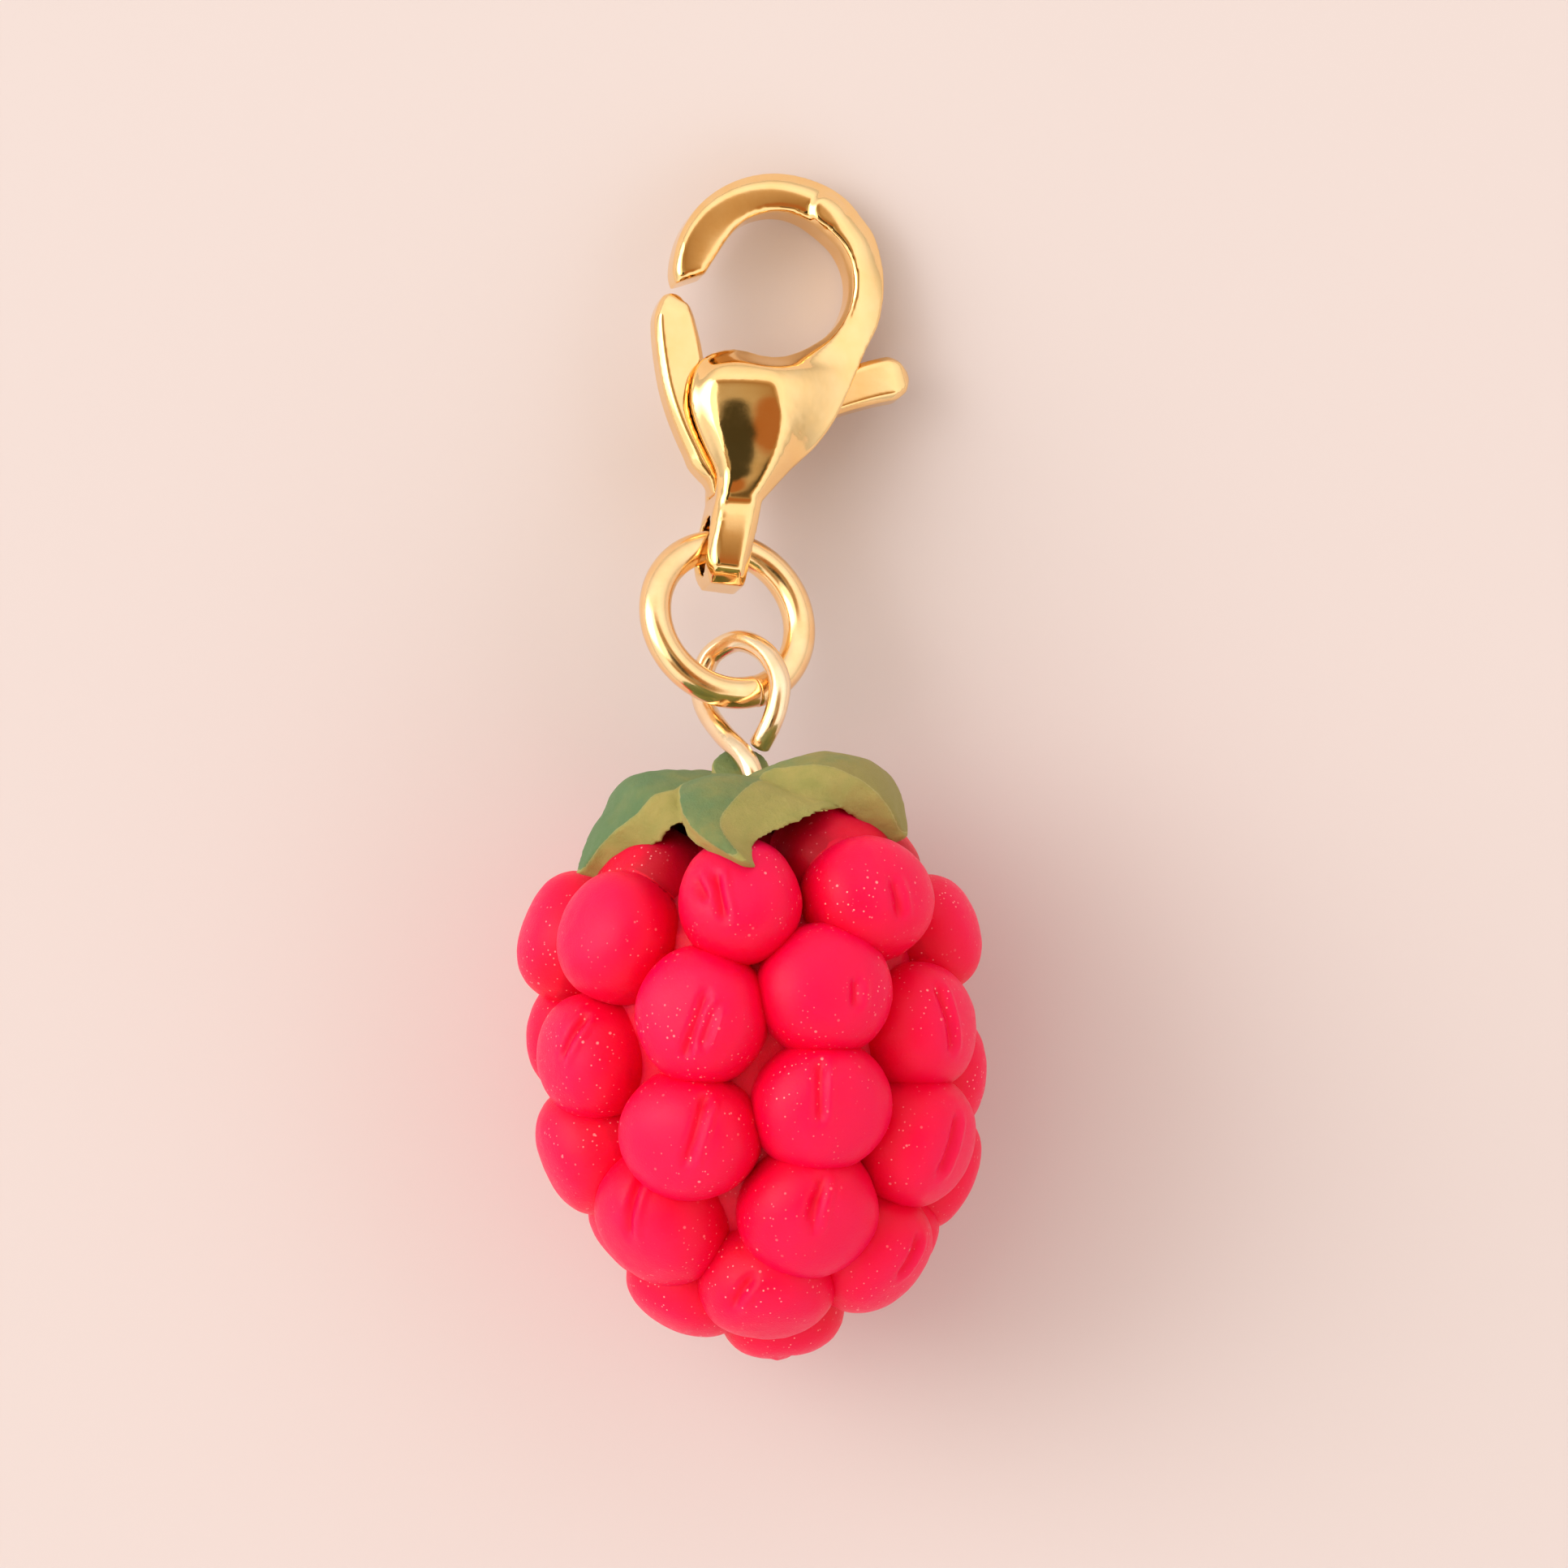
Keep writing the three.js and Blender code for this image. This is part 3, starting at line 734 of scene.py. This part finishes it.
def sepal(angle, half, droop, slant, drape, hook, side):
    """One leaf, and points on its faces and on the walls between them."""
    steps, across_steps = LEAF_GRID
    middle = evenly([(out, rise, 0) for out, rise in side], steps)
    rings = []
    for i, at in enumerate(middle):
        t = i / (steps - 1)
        wide = half * leaf_width(t)
        turn = math.radians(drape) * t * t
        sideways = hook * max(0, 4 * t - 3) ** 2
        ring = []
        for inner in (0, 1):
            for k in range(across_steps + 1):
                across = wide * (2 * k / across_steps - 1) * (1 - 2 * inner)
                lift = -LEAF_THICK * inner - droop * across * across
                leaning = min(0, across) if slant > 0 else max(0, across)
                across += inner * abs(slant) * leaf_width(t) * leaning / wide - sideways
                ring.append((at[0] + math.sin(turn) * lift, at[1] + math.cos(turn) * lift, across))
        rings.append(ring)
    # Each ring runs over the leaf's face from left to right, then back under it.
    leaf = skin("leaf", rings)
    spin = Matrix.Rotation(math.radians(angle - 90), 4, "Y")
    leaf.data.transform(spin)
    rings = np.array(rings) @ np.array(spin.to_3x3()).T
    share = np.linspace(0.1, 0.9, WALL_STEPS)[:, None, None]
    left = rings[:, across_steps] * (1 - share) + rings[:, across_steps + 1] * share
    right = rings[:, 2 * across_steps + 1] * (1 - share) + rings[:, 0] * share
    tip = rings[-1, : across_steps + 1] * (1 - share) + rings[-1, : across_steps : -1] * share
    walls = np.concatenate([wall.reshape(-1, 3) for wall in (left, right, tip)])
    inside = [*range(2, across_steps - 1), *range(across_steps + 3, 2 * across_steps)]
    return leaf, walls, rings[:-3, inside].reshape(-1, 3)


def calyx():
    """The sepals on their disc, melted together, with their cut sides marked."""
    disc = cylinder("calyx_clay", CALYX_DISC, LEAF_THICK)
    disc.data.transform(Matrix.Translation((0, -LEAF_THICK / 2, 0)) @ Matrix.Rotation(math.pi / 2, 4, "X"))
    leaves, walls, faces = zip(*(sepal(*leaf) for leaf in SEPALS))
    combine(disc, leaves)
    melt(disc, *CALYX_MELT)
    where = vertex_data(disc, "co")
    ahead = distance_to(np.concatenate(faces), where) - distance_to(np.concatenate(walls), where)
    store(disc, "cut_side", smooth_step(ahead, *CUT_EDGE))
    roughen(disc, LEAF_LUMPS)
    place(disc, berry_frame, "berry", "green_clay", "calyx", GREEN_CLAY)


# ---- eye pin ----
PIN_WIRE = 0.61
# The middle of the wire, from its end in the berry up and round the eye.
EYE_PATH = [
    (0.47, -9.4, 5.9), (0.28, -5.5, 5.9), (0.06, -1.2, 5.9), (-0.02, -0.2, 5.86),
    (-0.3, 0.32, 5.5), (-0.81, 0.85, 4.85), (-1.27, 1.5, 4.05), (-1.42, 2.0, 3.55),
    (-1.4, 2.5, 3.32), (-1.15, 3.08, 3.27), (-0.43, 3.47, 3.62), (0.34, 3.15, 4.28),
    (0.75, 2.36, 4.88), (0.68, 1.62, 5.13), (0.47, 1.05, 5.18), (0.2, 0.55, 5.0),
]


def eye_pin():
    """The wire that runs down the berry's axis and ends in an eye."""
    pin = wire("eye_pin_wire", EYE_PATH, PIN_WIRE, steps=260)
    place(pin, Matrix(), "berry", "wire_gold", "eye_pin", WIRE_GOLD)


# ---- jump ring ----
RING_WIRE = 0.9
RING_RADIUS = 2.19  # to the middle of the wire
RING_CENTRE = (-0.7, 4.06, 3.8)
RING_TURN = (-20.8, 22.8)  # degrees about X and Y
RING_CUT = -68  # degrees round the ring where its ends meet
RING_STEP = 0.1  # how far one end lies above the other
RING_CUT_GAP = 2  # degrees


def jump_ring():
    """A round wire ring whose ends nearly meet."""
    points = []
    span = 360 - RING_CUT_GAP
    for share in np.linspace(0, 1, 60):
        turn = math.radians(RING_CUT + RING_CUT_GAP / 2 + span * share)
        rise = RING_STEP * (share - 0.5)
        points.append((RING_RADIUS * math.cos(turn), RING_RADIUS * math.sin(turn), rise))
    ring = wire("ring_wire", points, RING_WIRE, steps=300)
    place(ring, turned(RING_CENTRE, *RING_TURN), "ring", "gold", "jump_ring", RING_GOLD)


# ---- clasp ----
CLASP_EYE = (-0.72, 6.12, 3.0)  # middle of the hole in the clasp's tail
CLASP_TURN = (-9.7, 12)  # degrees about X and Y
EYE_HOLE = 0.84  # radius, which clears the ring when the clasp swings right up
EYE_CUT = 3  # length of the hole's cutter
PIVOT = (0.45, 2.75)  # the gate's pivot in the clasp's own plane
PIVOT_RADIUS = 0.3
PIVOT_ROOM = 0.05  # between the pin and the lever that turns on it
PIVOT_CUT = 4  # length of the bore's cutter
GATE_OPENS = 30  # degrees
GATE_STEP = 5  # degrees between the lever's places that the slot is cut for
LEVER_HALF = 0.55  # half thickness
SLOT_ROOM = 0.1  # room round the lever, per side
SPRING_POCKET = 0.625  # radius
POCKET_FLOOR = 0.06  # how far past the lever's middle the pocket goes
BODY_MELT = (0.055, 4)  # voxel, and rounds of smoothing
LEVER_MELT = (0.045, 7)
clasp_frame = turned(CLASP_EYE, *CLASP_TURN)

# The body's outline in the clasp's own plane, one run of points from corner to
# corner at a time: [u, v, width of its bevel, height of its side].
CLASP_OUTLINE = [
    [  # over the hook from its tip, and down the right side to the tail
        (-1.56, 7.38, 0.14, 0.42), (-1.64, 7.8, 0.14, 0.42), (-1.43, 8.8, 0.16, 0.4),
        (-0.82, 9.75, 0.2, 0.38), (0.14, 10.43, 0.27, 0.36), (1.33, 10.72, 0.34, 0.36),
        (2.59, 10.5, 0.4, 0.36), (3.34, 10.07, 0.45, 0.38), (3.83, 9.5, 0.5, 0.4),
        (4.16, 9.03, 0.52, 0.4), (4.39, 8.22, 0.58, 0.4), (4.44, 7.73, 0.62, 0.42),
        (4.39, 7.07, 0.7, 0.46), (4.23, 6.41, 0.85, 0.55), (3.83, 5.62, 1.2, 0.72),
        (3.4, 4.59, 1.5, 0.82), (2.93, 3.59, 1.3, 0.85), (2.38, 2.81, 0.9, 0.85),
        (1.72, 2.17, 0.5, 0.85), (0.84, 1.18, 0.24, 0.86),
    ],
    # the tail's right side and its end
    [(0.84, 1.18, 0.24, 0.86), (0.65, 0.22, 0.24, 0.88), (0.36, -1.25, 0.22, 0.7)],
    [(0.36, -1.25, 0.34, 0.62), (-0.6, -1.17, 0.34, 0.62)],
    [  # its left side
        (-0.6, -1.17, 0.14, 0.7), (-0.74, -0.74, 0.2, 0.86), (-0.76, -0.2, 0.2, 0.88),
        (-0.62, 0.6, 0.2, 0.86), (-0.46, 1.3, 0.18, 0.86),
    ],
    [  # the belly's left side, shoulder and top, and round the inside of the hook
        (-0.46, 1.3, 0.18, 0.86), (-0.47, 1.9, 0.2, 0.9), (-0.8, 2.66, 0.28, 0.95),
        (-1.06, 3.27, 0.32, 0.98), (-1.22, 3.9, 0.34, 1.0), (-1.19, 4.44, 0.36, 0.96),
        (-1.05, 4.91, 0.36, 0.9), (-0.79, 5.23, 0.36, 0.85), (-0.44, 5.41, 0.36, 0.8),
        (0.0, 5.5, 0.36, 0.78), (0.4, 5.46, 0.36, 0.78), (0.88, 5.35, 0.36, 0.78),
        (1.37, 5.35, 0.36, 0.76), (1.88, 5.51, 0.34, 0.7), (2.32, 5.75, 0.3, 0.62),
        (2.79, 6.1, 0.22, 0.5), (3.2, 6.65, 0.16, 0.44), (3.4, 7.3, 0.14, 0.42),
        (3.37, 7.95, 0.14, 0.42), (3.1, 8.58, 0.12, 0.46), (2.65, 9.04, 0.1, 0.5),
        (2.1, 9.4, 0.08, 0.52), (1.5, 9.56, 0.08, 0.52), (0.9, 9.48, 0.08, 0.52),
        (0.4, 9.24, 0.08, 0.52), (0.0, 8.84, 0.08, 0.52), (-0.42, 8.2, 0.08, 0.52),
        (-0.74, 7.68, 0.08, 0.52),
    ],
    # across the hook's tip
    [(-0.74, 7.68, 0.08, 0.5), (-1.56, 7.38, 0.08, 0.5)],
]
# Half thickness of the body by v.
CLASP_RISE = [
    (-1.3, 1.06), (-0.8, 1.14), (0, 1.18), (0.75, 1.14), (1.1, 1.1), (1.35, 1.18),
    (1.8, 1.34), (2.35, 1.5), (2.95, 1.63), (3.6, 1.71), (4.1, 1.75), (4.5, 1.745),
    (4.85, 1.6), (5.2, 1.32), (5.8, 1.0), (6.3, 0.86), (7, 0.8),
]
BELLY_CROWN = (1.2, 6.5)  # u of the belly's crest, and its radius across
BELLY_ENDS = (1.2, 2, 4.6, 6.2)  # v where its roundness starts and is full, fades and ends
HOOK_CENTRE = (1.45, 7.62)
HOOK_FACE = (0.66, 2.5, 5.0)  # half thickness, radius and crown of the hook's front face
HOOK_ENDS = (44, 52, 250, 260)  # degrees round the hook where that face starts and ends
HOOK_FROM = (7, 7.3)  # v where it starts above the belly
HOOK_STEP = (2.8, 9.6, 0.5)  # u, v and radius of the nose where that face ends
STEP_EDGE = 0.08  # half width of the slope between them
OUTLINE_STEP = 0.06  # between points round the body's edge
SHEET_STEP = 0.09  # between points inside it
LEAST_RISE = 0.05  # of a bevel
BEVEL_SOFT = (0.3, 0.95)  # least and most rounding of a bevel's crest, as a share of its rise
SOFT_BY_WIDTH = 1.5  # rounding of a bevel's crest for its width


def smooth_least(a, b, soft):
    """The lesser of a and b, rounded where they are closer than soft."""
    blend = np.maximum(soft - np.abs(a - b), 0) / np.maximum(soft, 1e-6)
    return np.minimum(a, b) - blend * blend * soft / 4


def plateau(value, start, full, fading, end):
    """1 from full to fading, and 0 before start and past end."""
    return smooth_step(value, start, full) * (1 - smooth_step(value, fading, end))


def clasp_face(points):
    """Half thickness of the body at points, as if it had no bevels."""
    u, v = points.T
    v_at, rise_at = catmull(CLASP_RISE, np.linspace(0, 1, 300)).T
    rise = np.interp(v, v_at, rise_at)
    crest, radius = BELLY_CROWN
    rise -= (u - crest) ** 2 / (2 * radius) * plateau(v, *BELLY_ENDS)
    angle = np.degrees(np.arctan2(v - HOOK_CENTRE[1], u - HOOK_CENTRE[0])) % 360
    step_u, step_v, nose = HOOK_STEP
    beyond = smooth_step(np.hypot(u - step_u, v - step_v), nose - STEP_EDGE, nose + STEP_EDGE)
    flat = plateau(angle, *HOOK_ENDS) * beyond * smooth_step(v, *HOOK_FROM)
    thick, middle, crown = HOOK_FACE
    away = np.hypot(u - HOOK_CENTRE[0], v - HOOK_CENTRE[1]) - middle
    return rise + (thick - away**2 / (2 * crown) - rise) * flat


def clasp_sheet():
    """The clasp's body: two faces that rise from one outline, and the side between them."""
    runs = []
    for corners in CLASP_OUTLINE:
        corners = np.array(corners)
        length = np.linalg.norm(np.diff(corners[:, :2], axis=0), axis=1).sum()
        runs.append(catmull(corners, np.linspace(0, 1, max(3, int(length / OUTLINE_STEP)))))
    edge = np.vstack([run[:-1] for run in runs])
    low, high = edge[:, :2].min(axis=0), edge[:, :2].max(axis=0)
    columns, rows = (np.arange(low[i], high[i], SHEET_STEP) for i in range(2))
    across, up = np.meshgrid(columns, rows)
    inner = np.stack([across.ravel(), up.ravel()], axis=1)
    apart = np.linalg.norm(inner[:, None] - edge[None, :, :2], axis=2).min(axis=1)
    inner = inner[apart > OUTLINE_STEP]
    spots = np.vstack([edge[:, :2], inner])
    count = len(edge)
    flat, _, triangles, *_ = delaunay_2d_cdt(
        [Vector(spot) for spot in spots], [], [list(range(count))], 1, 1e-6
    )
    flat = np.array(flat)
    top = height = clasp_face(flat)
    for run in runs:
        gap = np.linalg.norm(flat[:, None] - run[None, :, :2], axis=2)
        nearest = gap.argmin(axis=1)
        wide, side = run[nearest, 2], run[nearest, 3]
        rise = np.maximum(top - side, LEAST_RISE)
        soft = rise * np.clip(SOFT_BY_WIDTH * wide, *BEVEL_SOFT)
        height = smooth_least(height, side + rise * gap.min(axis=1) / wide, soft)
    sheets = np.vstack([np.column_stack([flat, height]), np.column_stack([flat, -height])])
    faces = [tuple(face) for face in triangles]
    faces += [tuple(corner + len(flat) for corner in reversed(face)) for face in triangles]
    faces += side_faces(triangles, len(flat))
    body = mesh_object("clasp_casting", sheets, faces)
    face_outward(body)
    return body


def side_faces(triangles, shift):
    """Quads from the free edges of the front sheet to the same edges of the back one."""
    free = {}
    for face in triangles:
        for a, b in zip(face, (*face[1:], face[0])):
            free[min(a, b), max(a, b)] = None if (min(a, b), max(a, b)) in free else (a, b)
    return [(b, a, a + shift, b + shift) for a, b in filter(None, free.values())]


# The lever's two arms: [u, v, half width, half thickness] along their middles.
GATE_ARM = [
    (-1.45, 7.08, 0.1, 0.3),
    (-1.52, 6.93, 0.4, 0.45),
    (-1.57, 6.45, 0.58, LEVER_HALF),
    (-1.45, 5.6, 0.66, LEVER_HALF),
    (-1.24, 4.5, 0.68, LEVER_HALF),
    (-0.88, 3.5, 0.7, LEVER_HALF),
    (-0.38, 2.6, 0.8, LEVER_HALF),
    (-0.22, 1.9, 0.55, LEVER_HALF),
    (-0.3, 1.4, 0.2, 0.4),
]
THUMB_TAB = [
    (-0.2, 2.6, 0.5, LEVER_HALF),
    (0.4, 2.85, 0.8, LEVER_HALF),
    (1.4, 3.5, 0.7, LEVER_HALF),
    (2.6, 4.2, 0.55, LEVER_HALF),
    (3.8, 4.72, 0.62, LEVER_HALF),
    (4.6, 4.95, 0.64, LEVER_HALF),
    (5.0, 5.03, 0.46, 0.44),
    (5.18, 5.07, 0.14, 0.22),
]
LEVER_FACETS = (0.75, -0.75)  # edges of its flat faces, as shares of the half width
LEVER_ROLL = 5.5  # degrees that each arm is rolled about its own middle


def lever_bars(opened, grow):
    """The lever's arms, opened by some degrees and grown all round."""
    bars = []
    turn = Matrix.Translation((*PIVOT, 0)) @ Matrix.Rotation(math.radians(-opened), 4, "Z")
    turn = turn @ Matrix.Translation((-PIVOT[0], -PIVOT[1], 0))
    for stations in (GATE_ARM, THUMB_TAB):
        piece = bar("lever", [(*station, *LEVER_FACETS) for station in stations], 90, grow, roll=LEVER_ROLL)
        piece.data.transform(turn)
        bars.append(piece)
    return bars


def clasp_body():
    """The casting, with the slot that the lever turns in and the hole in its tail."""
    body = clasp_sheet()
    for opened in range(0, GATE_OPENS + 1, GATE_STEP):
        combine(body, lever_bars(opened, SLOT_ROOM), "DIFFERENCE")
    eye = cylinder("eye", EYE_HOLE, EYE_CUT)
    eye.data.transform(Matrix.Rotation(math.pi / 2, 4, "Y"))
    combine(body, [eye], "DIFFERENCE")
    melt(body, *BODY_MELT)
    place(body, clasp_frame, "clasp", "gold", "clasp_body", GOLD)


def gate_lever():
    """The gate's arm and thumb tab in one, with the spring's pocket and the pin's bore."""
    arm, tab = lever_bars(0, 0)
    combine(arm, [tab])
    pocket = cylinder("pocket", SPRING_POCKET, 2 * LEVER_HALF)
    pocket.data.transform(Matrix.Translation((*PIVOT, LEVER_HALF - POCKET_FLOOR)))
    bore = cylinder("bore", PIVOT_RADIUS + PIVOT_ROOM, PIVOT_CUT)
    bore.data.transform(Matrix.Translation((*PIVOT, 0)))
    combine(arm, [pocket, bore], "DIFFERENCE")
    arm.name = "gate_casting"
    melt(arm, *LEVER_MELT)
    place(arm, clasp_frame, "gate", "gold", "gate_lever", GOLD)


def pin_and_spring():
    """Steel on the solids' own pin and spring, which stay as they are."""
    for name in ("pivot_pin", "gate_spring"):
        node = frame["nodes"][name]
        node.data.materials.clear()
        node.data.materials.append(STEEL)


# ---- camera, floor and light ----
# In metres, as the pieces are by now.
PHOTO_CENTRE = (0.000881, -0.000531)
CAMERA_HEIGHT = 0.305
VIEW_WIDTH = 0.04366  # what the camera sees at FOCUS_HEIGHT
FOCUS_HEIGHT = 0.005
SENSOR = 36.0
FLOOR_HALF = 1.5  # half width
FLOOR_COLOUR = (0.72, 0.645, 0.635, 1)
WINDOW_AT = (-0.32, 0.13, 0.5)
WINDOW_SIZE = 0.55
WINDOW_POWER = 0.95
WINDOW_COLOUR = (1.0, 0.97, 0.93)
ROOM_STRENGTH = 1.29
# The room's colours, by the upward part of the direction.
ROOM = [
    (0.0, (0.5, 0.46, 0.44)),
    (0.3, (0.85, 0.8, 0.78)),
    (0.6, (1.0, 0.95, 0.92)),
    (0.77, (1.0, 0.9, 0.84)),
    (0.83, (0.5, 0.33, 0.19)),
    (0.89, (0.3, 0.17, 0.07)),
    (0.96, (0.42, 0.32, 0.2)),
]
# Soft patches in it: direction, degrees to the inner and outer edge, and colour. The
# first is the window, and the others stand for what the clasp's belly mirrors.
ROOM_PATCHES = [
    ((-0.8, 0.25, 0.5), 14, 26, (3.0, 2.9, 2.75)),
    ((0.33, 0.06, 0.94), 9, 12, (0.33, 0.13, 0.045)),
    ((0.02, 0.04, 1.0), 9, 11.5, (0.05, 0.042, 0.022)),
    ((0.05, -0.12, 0.99), 7, 9, (0.05, 0.042, 0.022)),
    ((0.33, -0.25, 0.91), 3.5, 5.5, (0.05, 0.042, 0.022)),
]


def camera():
    """Straight above the charm, as the photo was taken."""
    data = bpy.data.cameras.new("camera")
    data.sensor_width = SENSOR
    data.lens = SENSOR * (CAMERA_HEIGHT - FOCUS_HEIGHT) / VIEW_WIDTH
    data.clip_start = 0.01
    data.clip_end = 10
    obj = bpy.data.objects.new("camera", data)
    obj.location = (*PHOTO_CENTRE, CAMERA_HEIGHT)
    bpy.context.scene.collection.objects.link(obj)
    bpy.context.scene.camera = obj


def floor():
    """A plain pale floor under the charm."""
    vertices = [(x * FLOOR_HALF, y * FLOOR_HALF, 0) for x, y in ((-1, -1), (1, -1), (1, 1), (-1, 1))]
    obj = mesh_object("floor", vertices, [(0, 1, 2, 3)])
    material, nodes, _ = new_material("floor")
    nodes["Principled BSDF"].inputs["Base Color"].default_value = FLOOR_COLOUR
    nodes["Principled BSDF"].inputs["Roughness"].default_value = 0.8
    obj.data.materials.append(material)


def soft_light(name, at, size, power, colour):
    """A round lamp that faces the charm."""
    data = bpy.data.lights.new(name, "AREA")
    data.shape = "DISK"
    data.size = size
    data.energy = power
    data.color = colour
    obj = bpy.data.objects.new(name, data)
    obj.location = at
    obj.rotation_euler = (-Vector(at)).to_track_quat("-Z", "Y").to_euler()
    bpy.context.scene.collection.objects.link(obj)


def world():
    """A pale room whose ceiling is dark and warm over the table."""
    sky = bpy.data.worlds.new("studio")
    sky.use_nodes = True
    nodes, links = sky.node_tree.nodes, sky.node_tree.links
    where = nodes.new("ShaderNodeTexCoord").outputs["Generated"]
    split = nodes.new("ShaderNodeSeparateXYZ")
    links.new(where, split.inputs[0])
    colour = ramp(nodes, links, split.outputs["Z"], ROOM)
    for direction, inner, outer, patch in ROOM_PATCHES:
        toward = Vector(direction).normalized()
        dot = add(nodes, "ShaderNodeVectorMath", operation="DOT_PRODUCT")
        links.new(where, dot.inputs[0])
        dot.inputs[1].default_value = toward
        stops = [(math.cos(math.radians(outer)), BLACK), (math.cos(math.radians(inner)), WHITE)]
        share = ramp(nodes, links, dot.outputs["Value"], stops)
        colour = mix(nodes, links, share, colour, patch)
    background = nodes["Background"]
    links.new(colour, background.inputs["Color"])
    background.inputs["Strength"].default_value = ROOM_STRENGTH
    bpy.context.scene.world = sky


berry()
calyx()
eye_pin()
jump_ring()
clasp_body()
gate_lever()
pin_and_spring()
camera()
floor()
soft_light("window", WINDOW_AT, WINDOW_SIZE, WINDOW_POWER, WINDOW_COLOUR)
world()
bpy.context.scene.view_settings.view_transform = "Standard"
